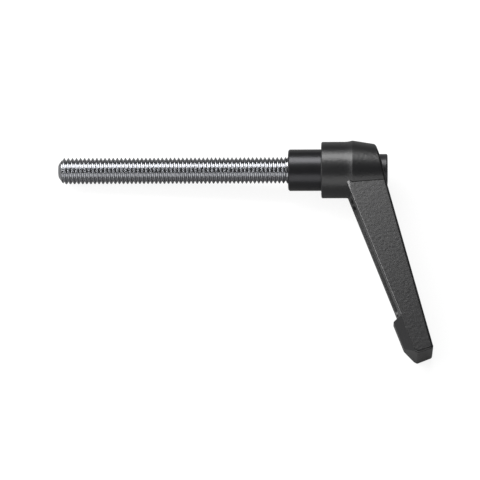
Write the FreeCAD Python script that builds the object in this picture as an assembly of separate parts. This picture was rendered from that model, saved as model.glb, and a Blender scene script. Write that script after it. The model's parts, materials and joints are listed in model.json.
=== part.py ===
import FreeCAD, Part
import os
from math import asin, atan, atan2, cos, degrees, hypot, pi, radians, sin, sqrt, tan
from FreeCAD import Placement, Rotation, Vector

# Adjustable clamping lever with a threaded stud, lying on its side as it comes to rest.
# Each piece is drawn along the stud axis: X runs from the stud's end to the handle's top, with
# X = 0 at the clamping face, and the arm reaches out along -Y and leans away from the stud.
# At the end every piece gets the one turn that lays the whole lever on the floor. Millimetres.

# threaded stud, a standard M8 thread drawn at its outside diameter
stud_radius = 4.0
stud_length = 70.0
stud_end_radius = 2.1
stud_chamfer_length = 1.4
stud_anchor_radius = 3.8
stud_anchor_length = 12.0

# toothed insert: collar, serration and shank turned in one piece
collar_radius = 6.3
collar_length = 10.0
collar_guide_length = 2.0
collar_chamfer = 0.4
mouth_chamfer = 0.3
tooth_count = 24
tooth_crest_radius = 6.0
tooth_depth = 0.6
tooth_crest_width = 0.35
tooth_flank_angle = 35.0
tooth_length = 3.6
shank_radius = 3.75
shank_top = 26.2
shank_chamfer = 0.3

# retaining screw in the shank
screw_radius = 2.5
screw_length = 8.0
screw_head_radius = 4.8
screw_head_height = 3.8
screw_head_rounding = 0.5
socket_width = 4.0
socket_depth = 2.2

# compression spring round the shank
wire_radius = 0.35
wire_sides = 5
spring_turns = 4.6
spring_ground_depth = 0.3

# handle hub
hub_radius = 8.55
hub_chamfer = 0.3
ridge_radius = 8.92
ridge_distance = 19.4
flare_length = 2.4
crown_radius = 7.75
crown_distance = 26.6
web_thickness = 2.4
counterbore_radius = 5.25

# handle arm, in the plane of the lever
top_distance = 28.19
outer_slope = 0.259
underside_distance = 15.3
underside_slope = 0.382
arm_reach = 59.1
arm_half_width = 6.7
flank_draft = 6.5
end_slope = 0.374
end_corner_depth = 0.52
cut_back_slope = 0.62
top_rounding = 0.8
end_rounding = 0.7
root_rounding = 0.5
rim_rounding = 0.45

# small facet that clears each flank's corner beside the hub
facet_sunk = 0.3
facet_length = 5.2
facet_width = 1.5
facet_depth = 0.7

# recess along the underside of the arm
recess_wall = 3.2
recess_floor = 2.2
recess_start = 9.6
recess_land = 1.4
recess_corner = 2.4
recess_floor_rounding = 0.5
recess_draft = 8.0

# raised finger pad under the arm's end
pad_length = 11.6
pad_height = 2.3
pad_half_width = 1.8
pad_rounding = 0.5

# play between the pieces, on the radius or on each face
thread_gap = 0.02
guide_gap = 0.08
shank_gap = 0.06
tooth_gap = 0.10
spring_side_gap = 0.12
spring_end_gap = 0.02
end_gap = 0.2
dead_end_depth = 0.5
overrun = 3.0
same_place = 0.02

# places along the axis that several pieces share
tooth_start = collar_length + collar_guide_length
tooth_end = tooth_start + tooth_length
web_start = tooth_end + end_gap
web_end = web_start + web_thickness
head_top = shank_top + screw_head_height
facet_start = sqrt(hub_radius ** 2 - arm_half_width ** 2) - facet_sunk
facet_end = facet_start + facet_length
end_corner_distance = underside_distance + underside_slope * arm_reach + end_corner_depth
pad_start = arm_reach - pad_length
recess_end = pad_start - recess_land
stud_chamfer_end = stud_chamfer_length - stud_length

X_AXIS = Vector(1, 0, 0)
CENTRE = Vector(0, 0, 0)


def turned(points):
    """Solid turned about the stud axis from (distance, radius) points that close on the axis."""
    corners = [Vector(x, r, 0) for x, r in points]
    outline = Part.makePolygon(corners + corners[:1])
    return Part.Face(outline).revolve(CENTRE, X_AXIS, 360)


def bar(radius, start, end):
    """Round bar on the stud axis between two distances."""
    return Part.makeCylinder(radius, end - start, Vector(start, 0, 0), X_AXIS)


def plan_prism(points, half_width):
    """Flat outline in the lever's plane, given as (distance, reach), thickened both ways."""
    corners = [Vector(x, -reach, -half_width) for x, reach in points]
    outline = Part.makePolygon(corners + corners[:1])
    return Part.Face(outline).extrude(Vector(0, 0, 2 * half_width))


def same(value, wanted):
    """Whether two lengths are the same place on the piece."""
    return abs(value - wanted) < same_place


def near(point, distance, reach, span=0.3):
    """Whether a point lies close to a place in the lever's plane."""
    return hypot(point.x - distance, -point.y - reach) < span


def round_edges(shape, radius, wanted):
    """Round every edge whose middle point passes the test."""
    chosen = [e for e in shape.Edges if wanted(e.valueAt((e.FirstParameter + e.LastParameter) / 2))]
    return shape.makeFillet(radius, chosen)


def serrated_prism(grow, start, length):
    """Prism with the serration's outline, grown by the play on every face."""
    crest = tooth_crest_radius + grow
    root = tooth_crest_radius - tooth_depth + grow
    slope = tan(radians(tooth_flank_angle))
    crest_half = tooth_crest_width / 2 + grow * (1 / cos(radians(tooth_flank_angle)) - slope)
    root_half = crest_half + tooth_depth * slope
    tooth = ((root, -root_half), (crest, -crest_half), (crest, crest_half), (root, root_half))
    corners = []
    for index in range(tooth_count):
        turn = Rotation(X_AXIS, 360.0 * index / tooth_count)
        for radius, side in tooth:
            corners.append(turn.multVec(Vector(start, radius, side)))
    return Part.Face(Part.makePolygon(corners + corners[:1])).extrude(Vector(length, 0, 0))


def outer_face(reach):
    """Distance of the arm's outer face from the clamping face, at a reach from the stud axis."""
    return top_distance + outer_slope * reach


def underside(reach):
    """Distance of the arm's underside from the clamping face, at a reach from the stud axis."""
    return underside_distance + underside_slope * reach


def threaded_stud():
    """Stud with a chamfered end, set in the insert."""
    return turned([
        (-stud_length, 0), (-stud_length, stud_end_radius), (stud_chamfer_end, stud_radius),
        (0, stud_radius), (0, stud_anchor_radius),
        (stud_anchor_length, stud_anchor_radius), (stud_anchor_length, 0),
    ])


def toothed_insert():
    """Collar, serration and shank, with a blind hole for the stud and one for the screw."""
    collar = turned([
        (0, 0), (0, collar_radius - collar_chamfer), (collar_chamfer, collar_radius),
        (tooth_start, collar_radius), (tooth_start, 0),
    ])
    serration = serrated_prism(0, tooth_start, tooth_length)
    shank = turned([
        (tooth_start, 0), (tooth_start, shank_radius), (shank_top - shank_chamfer, shank_radius),
        (shank_top, shank_radius - shank_chamfer), (shank_top, 0),
    ])
    hole_radius = stud_anchor_radius + thread_gap
    hole_end = stud_anchor_length + thread_gap
    stud_hole = turned([
        (0, 0), (0, hole_radius + mouth_chamfer), (mouth_chamfer, hole_radius),
        (hole_end, hole_radius), (hole_end, 0),
    ])
    screw_hole = bar(screw_radius + thread_gap, shank_top - screw_length - dead_end_depth, shank_top)
    body = collar.fuse([serration, shank]).removeSplitter()
    return body.cut([stud_hole, screw_hole])


def retaining_screw():
    """Screw with a low round head and a six-sided socket, whose head holds the spring down."""
    head = turned([
        (shank_top, 0), (shank_top, screw_head_radius), (head_top, screw_head_radius), (head_top, 0),
    ])
    head = round_edges(head, screw_head_rounding, lambda p: same(p.x, head_top))
    thread = bar(screw_radius, shank_top - screw_length, shank_top)
    corner = socket_width / (2 * cos(pi / 6))
    floor = head_top - socket_depth
    corners = [Vector(floor, corner * cos(pi * i / 3), corner * sin(pi * i / 3)) for i in range(6)]
    socket = Part.Face(Part.makePolygon(corners + corners[:1])).extrude(Vector(socket_depth, 0, 0))
    return head.fuse(thread).removeSplitter().cut(socket)


def spring():
    """Compression spring between the handle's web and the screw's head, with ground ends."""
    coil_radius = shank_radius + spring_side_gap + shank_gap + wire_radius
    bottom = web_end + spring_end_gap
    top = shank_top - spring_end_gap
    start = bottom + wire_radius - spring_ground_depth
    height = top - wire_radius + spring_ground_depth - start
    coil = Part.Wire(Part.makeHelix(height / spring_turns, height, coil_radius).Edges)
    corners = []
    for side in range(wire_sides):
        angle = 2 * pi * (side + 0.5) / wire_sides
        corners.append(Vector(coil_radius + wire_radius * cos(angle), 0, wire_radius * sin(angle)))
    body = coil.makePipeShell([Part.makePolygon(corners + corners[:1])], True, True)
    body.Placement = Placement(Vector(start, 0, 0), Rotation(Vector(0, 1, 0), 90))
    return body.common(bar(coil_radius + 2 * wire_radius, bottom, top))


def hub_blank():
    """Outside of the hub before its top is cut: cylinder, arc up to the ridge and tapering crown."""
    taper = (ridge_radius - crown_radius) / (crown_distance - ridge_distance)
    blank_top = top_distance + outer_slope * hub_radius + overrun
    blank_radius = crown_radius - taper * (blank_top - crown_distance)
    flare_start = Vector(ridge_distance - flare_length, hub_radius, 0)
    ridge = Vector(ridge_distance, ridge_radius, 0)
    rise = ridge_radius - hub_radius
    flare_radius = (flare_length ** 2 + rise ** 2) / (2 * rise)
    half_turn = asin(flare_length / flare_radius) / 2
    middle = flare_start + Vector(sin(half_turn), 1 - cos(half_turn), 0) * flare_radius
    flare = Part.Arc(flare_start, middle, ridge).toShape()
    rest = Part.makePolygon([
        ridge, Vector(blank_top, blank_radius, 0), Vector(blank_top, 0, 0), Vector(collar_length, 0, 0),
        Vector(collar_length, hub_radius - hub_chamfer, 0),
        Vector(collar_length + hub_chamfer, hub_radius, 0), flare_start,
    ])
    outline = Part.Wire([flare] + rest.Edges)
    return Part.Face(outline).revolve(CENTRE, X_AXIS, 360)


def end_reach(distance):
    """Reach of the arm's end edge, or of its cut-back corner, at a distance along the stud."""
    past = distance - end_corner_distance
    return arm_reach - (end_slope * past if past > 0 else -cut_back_slope * past)


def arm_blank():
    """Arm with its pad and cut-back end, reaching into the hub and past the handle's top."""
    top = outer_face(arm_reach) + 2 * overrun
    reach = arm_reach + overrun
    plan = plan_prism([
        (underside(0), 0), (underside(reach), reach), (top, reach), (outer_face(0) + overrun, 0),
    ], arm_half_width)
    arm = plan.fuse(finger_pad()).common(end_region()).common(drafted_flanks()).removeSplitter()
    arm = arm.cut([root_facet(1), root_facet(-1)])
    arm = round_edges(arm, end_rounding, lambda p: same(-p.y, end_reach(p.x)))
    ridge_front = underside_frame(pad_start)[0] + underside_frame(pad_start)[2] * pad_height
    arm = round_edges(arm, pad_rounding, lambda p: same(abs(p.z), pad_half_width) and -p.y > pad_start)
    return round_edges(arm, pad_rounding, lambda p: same(p.z, 0) and near(p, ridge_front.x, -ridge_front.y))


def underside_frame(reach):
    """Point on the underside at a reach, with the directions along the arm and out of it."""
    lean = atan(underside_slope)
    point = Vector(underside(reach), -reach, 0)
    return point, Vector(sin(lean), -cos(lean), 0), Vector(-cos(lean), -sin(lean), 0)


def root_facet(side):
    """Wedge cut from the corner between one flank and the underside, beside the hub."""
    def corner(distance, reach, depth):
        return Vector(distance, -reach, side * (arm_half_width - depth))

    slope = facet_depth / facet_width
    inner = corner(underside(facet_start) + facet_width, facet_start, 0)
    outer = corner(underside(facet_end), facet_end, 0)
    left = corner(underside(facet_start) - overrun, facet_start, facet_depth + overrun * slope)
    back = (inner - outer).normalize() * overrun
    above = Vector(0, 0, side * overrun)
    outline = [outer - back, inner + back, left + back]
    faces = Part.Face(Part.makePolygon(outline + outline[:1]))
    return faces.extrude(above)


def drafted_flanks():
    """Space between the arm's flanks, which come closer together towards the top."""
    lean = atan(underside_slope)
    start, along, out = underside_frame(0)
    length = (arm_reach + overrun) / cos(lean)
    depth = outer_face(arm_reach) + overrun
    narrow = arm_half_width - depth * tan(radians(flank_draft))
    corners = []
    for height, side in ((2 * overrun, -arm_half_width), (0, -arm_half_width), (-depth, -narrow),
                         (-depth, narrow), (0, arm_half_width), (2 * overrun, arm_half_width)):
        corners.append(start + out * height + Vector(0, 0, side))
    section = Part.Face(Part.makePolygon(corners + corners[:1]))
    return section.extrude(along * length)


def on_flank(point):
    """Whether a point lies on one of the arm's flanks."""
    depth = (point.x - underside(-point.y)) * cos(atan(underside_slope))
    return same(abs(point.z), arm_half_width - depth * tan(radians(flank_draft)))


def near_root(point):
    """Whether a point lies where the arm leaves the hub, below the flat top."""
    return 0 < -point.y < 1.5 * hub_radius and point.x < outer_face(-point.y) - same_place


def finger_pad():
    """Raised pad with sloping sides under the arm's end, before the end is cut."""
    start, along, out = underside_frame(pad_start)
    corners = []
    for height, side in ((-overrun, -arm_half_width), (0, -arm_half_width), (pad_height, -pad_half_width),
                         (pad_height, pad_half_width), (0, arm_half_width), (-overrun, arm_half_width)):
        corners.append(start + out * height + Vector(0, 0, side))
    section = Part.Face(Part.makePolygon(corners + corners[:1]))
    return section.extrude(along * (arm_reach - pad_start + overrun))


def end_region():
    """Space on the hub's side of the arm's end edge and of its cut-back corner."""
    near = end_corner_distance - arm_reach
    far = end_corner_distance + arm_reach
    return plan_prism([
        (near, arm_reach - cut_back_slope * arm_reach), (end_corner_distance, arm_reach),
        (far, arm_reach - end_slope * arm_reach), (far, -arm_reach), (near, -arm_reach),
    ], 2 * hub_radius)


def top_region():
    """Space on the stud's side of the flat, leaning top that hub and arm share."""
    reach = arm_reach + 2 * overrun
    return plan_prism([
        (outer_face(-reach), -reach), (outer_face(reach), reach), (-reach, reach), (-reach, -reach),
    ], 2 * hub_radius)


def rounded_rectangle(centre, along, across, half_length, half_width, radius):
    """Closed wire of a rectangle with round corners, given by its centre and two directions."""
    edges = []
    corners = ((1, 1), (-1, 1), (-1, -1), (1, -1))
    for index, (a, b) in enumerate(corners):
        hub = centre + along * (a * (half_length - radius)) + across * (b * (half_width - radius))
        first = along * a if index % 2 == 0 else across * b
        last = across * b if index % 2 == 0 else along * a
        middle = (first + last).normalize()
        edges.append(Part.Arc(hub + first * radius, hub + middle * radius, hub + last * radius).toShape())
    sides = []
    for index, edge in enumerate(edges):
        following = edges[(index + 1) % 4]
        start = edge.valueAt(edge.LastParameter)
        sides.append(Part.makeLine(start, following.valueAt(following.FirstParameter)))
    return Part.Wire([e for pair in zip(edges, sides) for e in pair])


def recess():
    """Drafted recess along the arm's underside, with rounded corners and a floor along the arm."""
    start, along, out = underside_frame(recess_start)
    end = underside_frame(recess_end)[0]
    middle = (start + end) * 0.5
    half_length = (end - start).Length / 2
    half_width = arm_half_width - recess_wall
    across = Vector(0, 0, 1)
    depth = outer_face(0) - underside(0)
    rings = []
    for height in (overrun, -depth):
        grow = height * tan(radians(recess_draft))
        rings.append(rounded_rectangle(middle + out * height, along, across,
                                       half_length + grow, half_width + grow, recess_corner + grow))
    cutter = Part.makeLoft(rings, True, True)
    floor = recess_floor * hypot(1, outer_slope)
    reach = arm_reach + 2 * overrun
    above_floor = plan_prism([
        (outer_face(-reach) - floor, -reach), (outer_face(reach) - floor, reach),
        (-reach, reach), (-reach, -reach),
    ], 2 * hub_radius)
    cutter = cutter.common(above_floor)
    return round_edges(cutter, recess_floor_rounding, lambda p: same(p.x + floor, outer_face(-p.y)))


def handle_bores():
    """Everything that the hub is bored and broached for, as one group of cutters."""
    guide = bar(collar_radius + guide_gap, collar_length - overrun, tooth_start)
    serration = serrated_prism(tooth_gap, tooth_start, web_start - tooth_start)
    web = bar(shank_radius + shank_gap, web_start - overrun, web_end + overrun)
    counterbore = bar(counterbore_radius, web_end, outer_face(hub_radius) + overrun)
    return [guide, serration, web, counterbore]


def lever_handle():
    """Hub and arm, one casting, bored and serrated for the insert and recessed below."""
    body = hub_blank().fuse(arm_blank()).removeSplitter().common(top_region())
    body = round_edges(body, root_rounding, lambda p: on_flank(p) and near_root(p))
    body = round_edges(body, top_rounding, lambda p: same(p.x, outer_face(-p.y)))
    body = round_edges(body, rim_rounding, lambda p: on_flank(p) and same(p.x, underside(-p.y))
                       and hub_radius < -p.y < pad_start)
    return body.cut([recess()] + handle_bores())


def rest_placement():
    """Turn that lays the lever on the stud's end, the hub's lower edge and the arm's tip."""
    hub_edge = collar_length + hub_chamfer
    pitch = atan((hub_radius - stud_radius) / (hub_edge - stud_chamfer_end))
    tip_reach = arm_reach - end_rounding
    lift = hub_radius + tan(pitch) * (end_corner_distance - hub_edge)
    span = hypot(tip_reach, arm_half_width)
    roll = asin(lift / span) - atan2(arm_half_width, tip_reach)
    turn = Rotation(Vector(0, 1, 0), -degrees(pitch)).multiply(Rotation(X_AXIS, degrees(roll)))
    return Placement(CENTRE, turn)


def main():
    os.makedirs("parts", exist_ok=True)
    rest = rest_placement()
    for make in (threaded_stud, toothed_insert, lever_handle, spring, retaining_screw):
        shape = make()
        if len(shape.Solids) == 1:
            shape = shape.Solids[0]
        shape.Placement = rest.multiply(shape.Placement)
        shape.exportStep("parts/" + make.__name__ + ".step")
        print(make.__name__, "volume", round(shape.Volume, 2), "valid", shape.isValid())


main()
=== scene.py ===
import json
import logging
import math
from dataclasses import dataclass, field
from enum import Enum

import bpy
from mathutils import Matrix, Vector


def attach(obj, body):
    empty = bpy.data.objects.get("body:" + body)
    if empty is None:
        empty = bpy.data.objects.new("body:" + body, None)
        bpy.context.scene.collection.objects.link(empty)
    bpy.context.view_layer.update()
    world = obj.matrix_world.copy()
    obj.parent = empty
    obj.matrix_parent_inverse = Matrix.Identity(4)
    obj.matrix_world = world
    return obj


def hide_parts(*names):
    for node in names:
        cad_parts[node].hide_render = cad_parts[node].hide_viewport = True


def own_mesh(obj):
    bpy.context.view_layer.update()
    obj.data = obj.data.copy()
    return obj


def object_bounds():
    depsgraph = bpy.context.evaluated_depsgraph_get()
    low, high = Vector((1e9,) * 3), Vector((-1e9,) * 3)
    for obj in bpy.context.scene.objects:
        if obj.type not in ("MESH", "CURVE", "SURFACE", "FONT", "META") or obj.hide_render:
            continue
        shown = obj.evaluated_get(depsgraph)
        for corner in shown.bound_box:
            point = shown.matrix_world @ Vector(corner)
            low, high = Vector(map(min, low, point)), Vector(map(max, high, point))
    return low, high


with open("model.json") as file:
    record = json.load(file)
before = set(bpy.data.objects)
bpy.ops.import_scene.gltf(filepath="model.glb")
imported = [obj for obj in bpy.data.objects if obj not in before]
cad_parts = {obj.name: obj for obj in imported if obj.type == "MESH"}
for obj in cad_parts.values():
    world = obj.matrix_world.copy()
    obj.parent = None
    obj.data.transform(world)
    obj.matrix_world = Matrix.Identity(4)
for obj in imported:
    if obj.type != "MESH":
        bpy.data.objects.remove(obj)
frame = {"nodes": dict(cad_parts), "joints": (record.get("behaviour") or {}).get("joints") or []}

# Looks of an adjustable clamping lever: a bright threaded stud in a black toothed insert, and a
# black cast handle held down by a spring and a round-headed screw, lying on a pale floor.

log = logging.getLogger("clamping_lever")
MM = 0.001
CAD_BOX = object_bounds()

# Points closer together than this, in metres, count as one.
SAME_POINT = 1e-6
# Points this close to the plane of a cut, in metres, lie in it.
IN_PLANE = 1e-7
# Blender's wave texture runs this many radians per unit of length at a scale of 1.
WAVE_RADIANS = 20.0


class Joint(Enum):
    """Joints of the lever that the looks depend on."""

    LIFT = "handle_lift"
    TURN = "handle_turn"


class Body(Enum):
    """Rigid bodies that the new pieces ride on."""

    STUD = "stud"
    SPRING = "spring"


class Ground(Enum):
    """How a pattern's coordinates lie on a piece."""

    FRAME = "frame"
    STUD_AXIS = "stud axis"


@dataclass(frozen=True)
class Lie:
    """How the lever lies: its stud slopes a little, and its arm rolls down onto the floor.

    Distances along the stud are counted from the clamping face, towards the handle's top.
    """

    roll_deg: float = 3.418

    def axis(self) -> Vector:
        """Direction of the stud, from its end to the handle's top."""
        joint = next(j for j in frame["joints"] if j["name"] == Joint.TURN.value)
        return Vector(joint["axis"]).normalized()

    def pitch(self) -> float:
        """Angle of the stud above the floor, in radians."""
        return math.atan2(self.axis().z, self.axis().x)

    def matrix(self) -> Matrix:
        """Turn from the lever's own directions (stud, across, out of its plane) to the frame's."""
        roll = Matrix.Rotation(math.radians(self.roll_deg), 4, "X")
        return Matrix.Rotation(-self.pitch(), 4, "Y") @ roll

    def stud_matrix(self) -> Matrix:
        """Turn that lays a piece made upright along Z onto the stud's axis."""
        return self.matrix() @ Matrix.Rotation(math.radians(90), 4, "Y")

    def point(self, along_mm: float) -> Vector:
        """Point on the stud's axis, in metres."""
        return self.axis() * (along_mm * MM)


LIE = Lie()


def linear(hex_colour: str) -> tuple[float, float, float, float]:
    """Turn an sRGB hex colour into the linear colour that shaders take.

    Args:
        hex_colour: Six hex digits, such as "1b1b1c".

    Returns:
        Linear red, green and blue, and full opacity.
    """
    parts = [int(hex_colour[i:i + 2], 16) / 255 for i in (0, 2, 4)]
    lit = [p / 12.92 if p <= 0.04045 else ((p + 0.055) / 1.055) ** 2.4 for p in parts]
    return (lit[0], lit[1], lit[2], 1.0)


def add_node(material: bpy.types.ID, kind: str, settings: dict | None = None,
             inputs: dict | None = None) -> bpy.types.Node:
    """Add one node with its settings, values and links.

    Args:
        material: Material or world that holds the node tree.
        kind: Blender's name of the node type.
        settings: Properties of the node.
        inputs: Values, or output sockets to link from, by input name or number.

    Returns:
        The new node.
    """
    tree = material.node_tree
    node = tree.nodes.new(kind)
    for name, value in (settings or {}).items():
        setattr(node, name, value)
    for name, value in (inputs or {}).items():
        if isinstance(value, bpy.types.NodeSocket):
            tree.links.new(value, node.inputs[name])
        else:
            node.inputs[name].default_value = value
    return node


def new_material(name: str) -> bpy.types.Material:
    """Make an empty node material.

    Args:
        name: Name of the material.

    Returns:
        The material, with no node in its tree.
    """
    material = bpy.data.materials.new(name)
    material.use_nodes = True
    material.node_tree.nodes.clear()
    return material


def coordinates(material: bpy.types.Material, ground: Ground) -> bpy.types.NodeSocket:
    """Object coordinates, turned so that X runs along the stud where that is asked.

    Args:
        material: Material to add the nodes to.
        ground: How the coordinates lie on the piece.

    Returns:
        The socket with the coordinates, in metres.
    """
    place = add_node(material, "ShaderNodeTexCoord").outputs["Object"]
    if ground is Ground.FRAME:
        return place
    turned = add_node(material, "ShaderNodeMapping", {"vector_type": "POINT"},
                      {"Vector": place, "Rotation": (0.0, LIE.pitch(), 0.0)})
    return turned.outputs["Vector"]


def close_surface(material: bpy.types.Material, shader: bpy.types.Node) -> bpy.types.Material:
    """Link a shader to the material's output."""
    add_node(material, "ShaderNodeOutputMaterial", {}, {"Surface": shader.outputs[0]})
    return material


@dataclass(frozen=True)
class PowderCoatedZinc:
    """Zinc die casting with a fine black polyester powder coat, baked on.

    The powder flows into a skin with a faint orange peel, which breaks a lamp's reflection into
    a broad satin band instead of a mirror image.
    """

    colour: str = "111112"
    pale: str = "171718"
    cloud_mm: float = 11.1
    roughness_low: float = 0.31
    roughness_high: float = 0.39
    ior: float = 1.5
    # A real peel is about 0.01 mm deep and its grain about 0.05 mm wide, too fine to show at
    # the picture's 3.3 pixels per millimetre. The peel is drawn deeper and the grain wider.
    peel_mm: float = 0.9
    peel_depth_mm: float = 0.044
    peel_strength: float = 0.9
    grain_mm: float = 0.12
    grain_depth_mm: float = 0.004
    grain_strength: float = 0.35
    grain_smoothness: float = 0.6

    def material(self) -> bpy.types.Material:
        """Build the material.

        Returns:
            The powder-coated material.
        """
        m = new_material("powder_coated_zinc_casting")
        place = coordinates(m, Ground.FRAME)
        peel = add_node(m, "ShaderNodeTexNoise", {},
                        {"Vector": place, "Scale": 1 / (self.peel_mm * MM), "Detail": 2.0,
                         "Roughness": 0.5})
        grain = add_node(m, "ShaderNodeTexVoronoi", {"feature": "SMOOTH_F1"},
                         {"Vector": place, "Scale": 1 / (self.grain_mm * MM),
                          "Smoothness": self.grain_smoothness})
        cloud = add_node(m, "ShaderNodeTexNoise", {},
                         {"Vector": place, "Scale": 1 / (self.cloud_mm * MM), "Detail": 3.0})
        colour = add_node(m, "ShaderNodeMix", {"data_type": "RGBA"},
                          {"Factor": cloud.outputs["Fac"], 6: linear(self.colour),
                           7: linear(self.pale)})
        rough = add_node(m, "ShaderNodeMapRange", {},
                         {"Value": cloud.outputs["Fac"], "To Min": self.roughness_low,
                          "To Max": self.roughness_high})
        fine = add_node(m, "ShaderNodeBump", {},
                        {"Height": grain.outputs["Distance"], "Strength": self.grain_strength,
                         "Distance": self.grain_depth_mm * MM})
        bump = add_node(m, "ShaderNodeBump", {},
                        {"Height": peel.outputs["Fac"], "Strength": self.peel_strength,
                         "Distance": self.peel_depth_mm * MM, "Normal": fine.outputs["Normal"]})
        skin = add_node(m, "ShaderNodeBsdfPrincipled", {},
                        {"Base Color": colour.outputs[2], "Roughness": rough.outputs["Result"],
                         "Normal": bump.outputs["Normal"]})
        skin.inputs["IOR"].default_value = self.ior
        return close_surface(m, skin)


@dataclass(frozen=True)
class BlackOxideSteel:
    """Turned steel, blackened in a hot salt bath and oiled.

    The oxide keeps the lathe's fine rings, so the dark metal shows soft bands round the axis.
    Its skin mirrors less than bare steel does, so it is only partly metallic.
    """

    name: str = "turned_black_oxide_steel"
    colour: str = "2c2c2e"
    metallic: float = 0.75
    cloud_mm: float = 2.86
    roughness: float = 0.30
    glossier: float = 0.06
    duller: float = 0.08
    # The lathe's real feed is about 0.18 mm, too fine to show, so the rings lie twice as far
    # apart.
    ring_mm: float = 0.3553
    ring_depth_mm: float = 0.0025
    ring_strength: float = 0.5
    ring_waver: float = 0.6

    def material(self) -> bpy.types.Material:
        """Build the material.

        Returns:
            The black oxide material, with its rings round the stud's axis.
        """
        m = new_material(self.name)
        place = coordinates(m, Ground.STUD_AXIS)
        rings = add_node(m, "ShaderNodeTexWave", {"wave_type": "BANDS", "bands_direction": "X"},
                         {"Vector": place,
                          "Scale": 2 * math.pi / (WAVE_RADIANS * self.ring_mm * MM),
                          "Distortion": self.ring_waver, "Detail": 2.0, "Detail Scale": 1.5})
        cloud = add_node(m, "ShaderNodeTexNoise", {},
                         {"Vector": place, "Scale": 1 / (self.cloud_mm * MM), "Detail": 4.0})
        tone = add_node(m, "ShaderNodeMapRange", {},
                        {"Value": cloud.outputs["Fac"], "To Min": self.roughness - self.glossier,
                         "To Max": self.roughness + self.duller})
        bump = add_node(m, "ShaderNodeBump", {},
                        {"Height": rings.outputs["Fac"], "Strength": self.ring_strength,
                         "Distance": self.ring_depth_mm * MM})
        metal = add_node(m, "ShaderNodeBsdfPrincipled", {},
                         {"Roughness": tone.outputs["Result"], "Normal": bump.outputs["Normal"]})
        metal.inputs["Base Color"].default_value = linear(self.colour)
        metal.inputs["Metallic"].default_value = self.metallic
        return close_surface(m, metal)


@dataclass(frozen=True)
class BrightZincPlate:
    """Rolled steel thread with a bright zinc plate.

    Rolling burnishes the flanks, and the thin plate leaves them silvery with a slightly
    cloudy gloss.
    """

    colour: str = "a8a9ac"
    shade: str = "98999c"
    cloud_mm: float = 1.67
    roughness_low: float = 0.23
    roughness_high: float = 0.28

    def material(self) -> bpy.types.Material:
        """Build the material.

        Returns:
            The bright zinc material.
        """
        m = new_material("bright_zinc_plated_steel")
        place = coordinates(m, Ground.STUD_AXIS)
        cloud = add_node(m, "ShaderNodeTexNoise", {},
                         {"Vector": place, "Scale": 1 / (self.cloud_mm * MM), "Detail": 2.0,
                          "Roughness": 0.5})
        colour = add_node(m, "ShaderNodeMix", {"data_type": "RGBA"},
                          {"Factor": cloud.outputs["Fac"], 6: linear(self.shade),
                           7: linear(self.colour)})
        rough = add_node(m, "ShaderNodeMapRange", {},
                         {"Value": cloud.outputs["Fac"], "To Min": self.roughness_high,
                          "To Max": self.roughness_low})
        metal = add_node(m, "ShaderNodeBsdfPrincipled", {},
                         {"Base Color": colour.outputs[2], "Roughness": rough.outputs["Result"]})
        metal.inputs["Metallic"].default_value = 1.0
        return close_surface(m, metal)


@dataclass(frozen=True)
class SpringWire:
    """Patented spring wire, drawn through a die, grey and slightly oily."""

    colour: str = "8d8f92"
    cloud_mm: float = 1.11
    roughness_low: float = 0.25
    roughness_high: float = 0.4

    def material(self) -> bpy.types.Material:
        """Build the material.

        Returns:
            The drawn wire's material.
        """
        m = new_material("drawn_spring_wire")
        place = coordinates(m, Ground.STUD_AXIS)
        cloud = add_node(m, "ShaderNodeTexNoise", {},
                         {"Vector": place, "Scale": 1 / (self.cloud_mm * MM), "Detail": 3.0})
        rough = add_node(m, "ShaderNodeMapRange", {},
                         {"Value": cloud.outputs["Fac"], "To Min": self.roughness_low,
                          "To Max": self.roughness_high})
        metal = add_node(m, "ShaderNodeBsdfPrincipled", {}, {"Roughness": rough.outputs["Result"]})
        metal.inputs["Base Color"].default_value = linear(self.colour)
        metal.inputs["Metallic"].default_value = 1.0
        return close_surface(m, metal)


def nothing_selected() -> None:
    """Leave edit mode and deselect every object, so that an operator acts on new work only."""
    if bpy.context.object and bpy.context.object.mode != "OBJECT":
        bpy.ops.object.mode_set(mode="OBJECT")
    bpy.ops.object.select_all(action="DESELECT")


def only(piece: bpy.types.Object) -> None:
    """Make one object the only selected and the active one.

    Args:
        piece: The object.
    """
    nothing_selected()
    piece.select_set(True)
    bpy.context.view_layer.objects.active = piece


def place_into_mesh() -> None:
    """Put the selected object's place into its mesh, so that the object sits at the origin."""
    bpy.ops.object.transform_apply(location=True, rotation=True, scale=True)


def apply_modifiers(piece: bpy.types.Object) -> None:
    """Apply all modifiers of a piece, in order.

    Args:
        piece: The piece with its modifiers.
    """
    only(piece)
    for modifier in list(piece.modifiers):
        bpy.ops.object.modifier_apply(modifier=modifier.name)


def cut_flat(piece: bpy.types.Object, height: float, keep_below: bool) -> None:
    """Cut an upright piece at a height, drop one side and close the cut.

    Args:
        piece: Piece made upright along Z.
        height: Height of the cut, in metres.
        keep_below: Whether the part below the cut stays.
    """
    only(piece)
    bpy.ops.object.mode_set(mode="EDIT")
    bpy.ops.mesh.select_all(action="SELECT")
    bpy.ops.mesh.bisect(plane_co=(0, 0, height), plane_no=(0, 0, 1), use_fill=True,
                        clear_outer=keep_below, clear_inner=not keep_below, threshold=IN_PLANE)
    bpy.ops.object.mode_set(mode="OBJECT")


def lay_on_stud(piece: bpy.types.Object) -> None:
    """Turn an upright piece onto the stud's axis and put its place into its mesh.

    Args:
        piece: Piece made upright along Z.
    """
    only(piece)
    piece.matrix_world = LIE.stud_matrix()
    place_into_mesh()


def dress(piece: bpy.types.Object, material: bpy.types.Material) -> None:
    """Give a piece its one material.

    Args:
        piece: The piece.
        material: Its finish.
    """
    piece.data.materials.clear()
    piece.data.materials.append(material)


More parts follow.
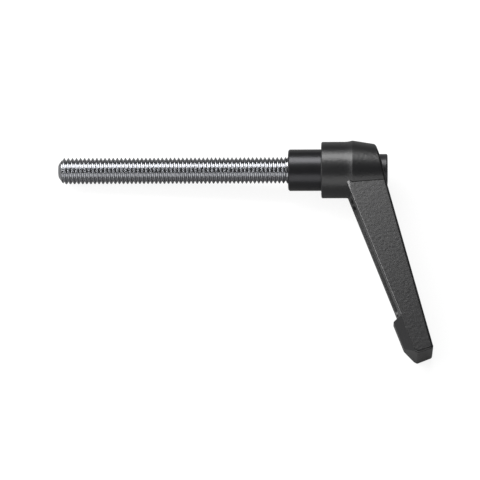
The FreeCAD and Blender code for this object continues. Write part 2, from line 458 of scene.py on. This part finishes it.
@dataclass
class ThreadedStud:
    """Stud with a rolled M8 right-hand thread and a chamfered end, set in the insert."""

    length_mm: float = 70.0
    crest_radius_mm: float = 4.0
    root_radius_mm: float = 3.25
    pitch_mm: float = 1.25
    flank_deg: float = 60.0
    crest_flat_mm: float = 0.06
    crest_rounding_mm: float = 0.08
    root_rounding_mm: float = 0.16
    rounding_steps: int = 3
    steps_per_turn: int = 56
    spare_turns: int = 3
    end_radius_mm: float = 2.1
    chamfer_mm: float = 1.4
    envelope_margin_mm: float = 0.5
    envelope_sides: int = 96
    anchor_radius_mm: float = 3.8
    anchor_mm: float = 12.0
    anchor_overlap_mm: float = 0.4
    anchor_sides: int = 64
    smooth_deg: float = 28.0
    finish: BrightZincPlate = field(default_factory=BrightZincPlate)

    def profile(self) -> list[tuple[float, float]]:
        """One pitch of the rolled thread, from crest to crest.

        Returns:
            Points as (height, radius), in millimetres.
        """
        flank = math.radians(self.flank_deg)
        turns = [flank * i / self.rounding_steps for i in range(self.rounding_steps + 1)]
        crest_edge = self.crest_flat_mm / 2
        crest = [(crest_edge + self.crest_rounding_mm * math.sin(turn),
                  self.crest_radius_mm - self.crest_rounding_mm * (1 - math.cos(turn)))
                 for turn in turns]
        foot = self.root_radius_mm + self.root_rounding_mm * (1 - math.cos(flank))
        run = (crest[-1][1] - foot) / math.tan(flank)
        root_edge = crest[-1][0] + run + self.root_rounding_mm * math.sin(flank)
        root = [(root_edge - self.root_rounding_mm * math.sin(turn),
                 self.root_radius_mm + self.root_rounding_mm * (1 - math.cos(turn)))
                for turn in reversed(turns)]
        half = [(0.0, self.crest_radius_mm), *crest, *root]
        return half + [(self.pitch_mm - height, radius) for height, radius in reversed(half)]

    def helix(self) -> bpy.types.Object:
        """Wind the thread's profile along Z, beyond both ends of the stud.

        Returns:
            The thread's open surface.
        """
        nothing_selected()
        bpy.ops.mesh.primitive_circle_add(vertices=3, radius=self.crest_radius_mm * MM)
        piece = bpy.context.object
        bpy.ops.object.mode_set(mode="EDIT")
        bpy.ops.mesh.select_all(action="SELECT")
        bpy.ops.mesh.merge(type="CENTER")
        start = -(self.length_mm + 2 * self.pitch_mm) * MM
        bpy.ops.transform.translate(value=(self.crest_radius_mm * MM, 0, start))
        points = self.profile()
        for (height, radius), (next_height, next_radius) in zip(points, points[1:]):
            step = ((next_radius - radius) * MM, 0, (next_height - height) * MM)
            bpy.ops.mesh.extrude_region_move(TRANSFORM_OT_translate={"value": step})
        bpy.ops.object.mode_set(mode="OBJECT")
        screw = piece.modifiers.new("thread", "SCREW")
        screw.axis = "Z"
        screw.angle = 2 * math.pi
        screw.screw_offset = self.pitch_mm * MM
        screw.iterations = math.ceil(self.length_mm / self.pitch_mm) + self.spare_turns
        screw.steps = screw.render_steps = self.steps_per_turn
        apply_modifiers(piece)
        bpy.ops.object.mode_set(mode="EDIT")
        bpy.ops.mesh.select_all(action="SELECT")
        bpy.ops.mesh.remove_doubles(threshold=SAME_POINT)
        bpy.ops.mesh.normals_make_consistent(inside=False)
        bpy.ops.object.mode_set(mode="OBJECT")
        return piece

    def envelope(self) -> bpy.types.Object:
        """Make the round bar with the stud's chamfered end, which trims the thread.

        Returns:
            The closed bar, a little thicker than the stud.
        """
        nothing_selected()
        radius = self.crest_radius_mm + self.envelope_margin_mm
        low = -self.length_mm / 2 * MM
        bpy.ops.mesh.primitive_cylinder_add(vertices=self.envelope_sides, radius=radius * MM,
                                            depth=self.length_mm * MM, location=(0, 0, low))
        bar = bpy.context.object
        slope = (self.crest_radius_mm - self.end_radius_mm) / self.chamfer_mm
        tall = (radius - self.end_radius_mm) / slope
        bpy.ops.object.mode_set(mode="EDIT")
        bpy.ops.mesh.select_all(action="SELECT")
        bpy.ops.mesh.bisect(plane_co=(0, 0, (tall - self.length_mm) * MM), plane_no=(0, 0, 1))
        bpy.ops.mesh.select_all(action="DESELECT")
        bpy.ops.object.mode_set(mode="OBJECT")
        for vertex in bar.data.vertices:
            vertex.select = abs(vertex.co.z - low) < SAME_POINT
        share = self.end_radius_mm / radius
        bpy.ops.object.mode_set(mode="EDIT")
        bpy.ops.transform.resize(value=(share, share, 1))
        only(bar)
        place_into_mesh()
        return bar

    def anchor(self) -> bpy.types.Object:
        """Make the plain end of the stud inside the insert.

        Returns:
            The closed bar, which reaches a little way into the thread.
        """
        nothing_selected()
        depth = self.anchor_mm + self.anchor_overlap_mm
        middle = (depth / 2 - self.anchor_overlap_mm) * MM
        bpy.ops.mesh.primitive_cylinder_add(vertices=self.anchor_sides,
                                            radius=self.anchor_radius_mm * MM,
                                            depth=depth * MM, location=(0, 0, middle))
        place_into_mesh()
        return bpy.context.object

    def combine(self, piece: bpy.types.Object, other: bpy.types.Object, operation: str) -> None:
        """Combine a piece with another solid, which is then removed.

        Args:
            piece: The piece that stays.
            other: The solid that is used up.
            operation: Name of the Boolean operation.
        """
        only(piece)
        join = piece.modifiers.new("join", "BOOLEAN")
        join.operation = operation
        join.solver = "MANIFOLD"
        join.object = other
        bpy.ops.object.modifier_apply(modifier=join.name)
        bpy.data.objects.remove(other)

    def build(self) -> bpy.types.Object:
        """Make the stud, dress it and let it stand for the plain one.

        Returns:
            The threaded stud.
        """
        piece = self.helix()
        cut_flat(piece, -(self.length_mm + self.pitch_mm / 2) * MM, keep_below=False)
        cut_flat(piece, self.pitch_mm / 2 * MM, keep_below=True)
        self.combine(piece, self.envelope(), "INTERSECT")
        self.combine(piece, self.anchor(), "UNION")
        piece.name = "stud_thread"
        only(piece)
        bpy.ops.object.shade_smooth_by_angle(angle=math.radians(self.smooth_deg))
        lay_on_stud(piece)
        dress(piece, self.finish.material())
        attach(piece, Body.STUD.value)
        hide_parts("threaded_stud")
        log.info("%s: %d faces", piece.name, len(piece.data.polygons))
        return piece


@dataclass
class RetainingSpring:
    """Compression spring of round wire with ground ends, between the web and the screw's head."""

    coil_radius_mm: float = 4.28
    wire_radius_mm: float = 0.35
    bottom_mm: float = 18.22
    top_mm: float = 26.18
    ground_mm: float = 0.3
    turns: float = 4.6
    lift_mm: float = 4.0
    wire_sides: int = 14
    steps_per_turn: int = 48
    smooth_deg: float = 40.0
    finish: SpringWire = field(default_factory=SpringWire)

    def build(self) -> bpy.types.Object:
        """Make the spring, dress it and hang it on the spring's body.

        Returns:
            The spring.
        """
        nothing_selected()
        start = self.bottom_mm + self.wire_radius_mm - self.ground_mm
        height = self.top_mm - self.wire_radius_mm + self.ground_mm - start
        bpy.ops.mesh.primitive_circle_add(vertices=self.wire_sides, fill_type="NGON",
                                          radius=self.wire_radius_mm * MM)
        piece = bpy.context.object
        bpy.ops.object.mode_set(mode="EDIT")
        bpy.ops.mesh.select_all(action="SELECT")
        bpy.ops.transform.rotate(value=math.radians(90), orient_axis="X",
                                 center_override=(0, 0, 0))
        bpy.ops.transform.translate(value=(self.coil_radius_mm * MM, 0, start * MM))
        bpy.ops.mesh.delete(type="ONLY_FACE")
        bpy.ops.object.mode_set(mode="OBJECT")
        coil = piece.modifiers.new("coil", "SCREW")
        coil.axis = "Z"
        coil.angle = 2 * math.pi * self.turns
        coil.screw_offset = height * MM
        coil.iterations = 1
        coil.steps = coil.render_steps = round(self.steps_per_turn * self.turns)
        apply_modifiers(piece)
        bpy.ops.object.mode_set(mode="EDIT")
        bpy.ops.mesh.select_all(action="SELECT")
        bpy.ops.mesh.fill_holes(sides=0)
        bpy.ops.mesh.normals_make_consistent(inside=False)
        bpy.ops.object.mode_set(mode="OBJECT")
        cut_flat(piece, self.bottom_mm * MM, keep_below=False)
        cut_flat(piece, self.top_mm * MM, keep_below=True)
        piece.name = "spring_coil"
        only(piece)
        bpy.ops.object.shade_smooth_by_angle(angle=math.radians(self.smooth_deg))
        lay_on_stud(piece)
        dress(piece, self.finish.material())
        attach(piece, Body.SPRING.value)
        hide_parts("spring")
        tuple(LIE.axis())
        tuple(LIE.point(self.bottom_mm))
        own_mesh(piece)
        log.info("%s: %d faces", piece.name, len(piece.data.polygons))
        return piece


@dataclass
class CastHandle:
    """Cast handle, whose form comes with the frame."""

    finish: PowderCoatedZinc = field(default_factory=PowderCoatedZinc)

    def build(self) -> bpy.types.Object:
        """Dress the handle.

        Returns:
            The handle.
        """
        piece = frame["nodes"]["lever_handle"]
        dress(piece, self.finish.material())
        log.info("%s: dressed", piece.name)
        return piece


@dataclass
class BlackenedSteelParts:
    """Toothed insert and retaining screw, whose forms come with the frame."""

    insert_finish: BlackOxideSteel = field(default_factory=BlackOxideSteel)
    screw_finish: BlackOxideSteel = field(default_factory=lambda: BlackOxideSteel(
        name="polished_black_screw_steel", colour="2e2e30", metallic=0.3, roughness=0.38,
        ring_depth_mm=0.001))

    def build(self) -> list[bpy.types.Object]:
        """Dress the insert and the screw.

        Returns:
            The two pieces.
        """
        insert = frame["nodes"]["toothed_insert"]
        screw = frame["nodes"]["retaining_screw"]
        dress(insert, self.insert_finish.material())
        dress(screw, self.screw_finish.material())
        for piece in (insert, screw):
            log.info("%s: dressed", piece.name)
        return [insert, screw]


@dataclass(frozen=True)
class Softbox:
    """Soft lamp, placed by its angles from the camera's own direction.

    The first angle turns about the picture's level line, towards its top, and the second one
    along that line, towards the right of the picture.
    """

    name: str
    up_deg: float
    right_deg: float
    size_m: tuple[float, float]
    power_w: float

    def aim(self) -> Matrix:
        """Turn from the camera's own direction to the lamp's."""
        up = Matrix.Rotation(-math.radians(self.up_deg), 4, "X")
        return up @ Matrix.Rotation(math.radians(self.right_deg), 4, "Y")


@dataclass
class Studio:
    """White studio: floor, soft lamps and the camera, placed by the view of the lever."""

    turn_deg: float = 18.42
    yaw_deg: float = 3.23
    roll_deg: float = 0.13
    distance_mm: float = 650.0
    pixels_per_mm: float = 3.3
    image_px: float = 480.0
    anchor_px: tuple[float, float] = (321.4, 170.1)
    anchor_mm: float = 10.0
    sensor_mm: float = 36.0
    clip_start_m: float = 0.01
    floor_m: float = 6.0
    paper_colour: str = "6c6c6c"
    paper_seen: float = 0.86
    paper_mirrored: float = 0.09
    room_seen: float = 1.0
    room_light: float = 0.05
    room_mirrored: float = 0.04
    lamp_distance_m: float = 0.6
    lamps: tuple[Softbox, ...] = (
        Softbox("top_softbox", 58, -21, (0.84, 0.34), 7.6),
        Softbox("low_fill", -46, 0, (1.2, 0.42), 3.0),
        Softbox("left_softbox", 20, -60, (0.24, 0.5), 4.6),
    )

    def view_matrix(self) -> Matrix:
        """Work out how the camera is turned.

        Returns:
            The camera's directions (right, up, back) as columns, in the frame.
        """
        yaw = math.radians(self.yaw_deg)
        turn = math.radians(self.turn_deg)
        roll = math.radians(self.roll_deg)
        stud = Vector((math.cos(yaw), 0, math.sin(yaw)))
        arm = Vector((0, -math.cos(turn), math.sin(turn)))
        arm = (arm - stud * arm.dot(stud)).normalized()
        across = -arm
        out = stud.cross(across)
        spin = Matrix.Rotation(roll, 3, "Z")
        to_camera = spin @ Matrix((stud, across, out)).transposed()
        return (LIE.matrix().to_3x3() @ to_camera.inverted()).to_4x4()

    def place_camera(self) -> None:
        """Place the camera at the view in which the lever was measured."""
        nothing_selected()
        turn = self.view_matrix()
        scale = MM / self.pixels_per_mm
        half = self.image_px / 2
        offset = Vector(((self.anchor_px[0] - half) * scale, (half - self.anchor_px[1]) * scale,
                         -self.distance_mm * MM))
        place = LIE.point(self.anchor_mm) - turn.to_3x3() @ offset
        bpy.ops.object.camera_add(location=place)
        camera = bpy.context.object
        camera.matrix_world = Matrix.Translation(place) @ turn
        camera.data.sensor_width = self.sensor_mm
        camera.data.lens = self.sensor_mm * self.pixels_per_mm * self.distance_mm / self.image_px
        camera.data.clip_start = self.clip_start_m
        bpy.context.scene.camera = camera

    def light(self, box: Softbox) -> None:
        """Add a soft lamp that points at the lever's middle.

        Args:
            box: The lamp's size, power and direction.
        """
        nothing_selected()
        turn = self.view_matrix()
        aim = box.aim()
        target = sum(CAD_BOX, Vector()) / 2
        direction = turn.to_3x3() @ (aim.to_3x3() @ Vector((0, 0, 1)))
        place = target + direction * self.lamp_distance_m
        bpy.ops.object.light_add(type="AREA", location=place)
        lamp = bpy.context.object
        lamp.name = box.name
        lamp.matrix_world = Matrix.Translation(place) @ turn @ aim
        lamp.data.shape = "RECTANGLE"
        lamp.data.size, lamp.data.size_y = box.size_m
        lamp.data.energy = box.power_w

    def strength(self, tree: bpy.types.ID, seen: float, mirrored: float,
                 plain: float) -> bpy.types.NodeSocket:
        """Glow that is white to the camera, weaker in mirrors and glass, and faint as light.

        Args:
            tree: Material or world that holds the nodes.
            seen: Strength to the camera.
            mirrored: Strength to glossy and transmission rays.
            plain: Strength to all other rays.

        Returns:
            The socket with the strength.
        """
        rays = add_node(tree, "ShaderNodeLightPath")
        bounce = add_node(tree, "ShaderNodeMath", {"operation": "MAXIMUM"},
                          {0: rays.outputs["Is Glossy Ray"], 1: rays.outputs["Is Transmission Ray"]})
        soft = add_node(tree, "ShaderNodeMath", {"operation": "MULTIPLY_ADD"},
                        {0: bounce.outputs[0], 1: mirrored - plain, 2: plain})
        total = add_node(tree, "ShaderNodeMath", {"operation": "MULTIPLY_ADD"},
                         {0: rays.outputs["Is Camera Ray"], 1: seen - plain, 2: soft.outputs[0]})
        return total.outputs[0]

    def floor(self) -> bpy.types.Object:
        """Make the floor under the lever, white to the camera and with the lever's soft shadow.

        Returns:
            The floor.
        """
        nothing_selected()
        bpy.ops.mesh.primitive_plane_add(size=self.floor_m, location=(0, 0, CAD_BOX[0].z))
        ground = bpy.context.object
        ground.name = "studio_floor"
        place_into_mesh()
        m = new_material("white_studio_paper")
        paper = add_node(m, "ShaderNodeBsdfDiffuse", {}, {"Color": linear(self.paper_colour)})
        level = self.strength(m, self.paper_seen, self.paper_mirrored, 0.0)
        glow = add_node(m, "ShaderNodeEmission", {}, {"Strength": level})
        both = add_node(m, "ShaderNodeAddShader", {}, {0: paper.outputs[0], 1: glow.outputs[0]})
        ground.data.materials.append(close_surface(m, both))
        return ground

    def world(self) -> None:
        """Set up dim even surroundings that look white to the camera."""
        world = bpy.data.worlds.new("white_surroundings")
        bpy.context.scene.world = world
        world.use_nodes = True
        world.node_tree.nodes.clear()
        level = self.strength(world, self.room_seen, self.room_mirrored, self.room_light)
        sky = add_node(world, "ShaderNodeBackground", {}, {"Strength": level})
        add_node(world, "ShaderNodeOutputWorld", {}, {"Surface": sky.outputs[0]})

    def build(self) -> None:
        """Set up the floor, the surroundings, the lamps and the camera."""
        self.floor()
        self.world()
        for box in self.lamps:
            self.light(box)
        self.place_camera()
        bpy.context.scene.view_settings.view_transform = "Standard"
        log.info("studio: ready")


def main() -> None:
    """Build the lever's pieces in order, then the studio round them."""
    logging.basicConfig(level=logging.INFO, format="%(message)s")
    ThreadedStud().build()
    RetainingSpring().build()
    CastHandle().build()
    BlackenedSteelParts().build()
    Studio().build()


if __name__ == "__main__":
    main()
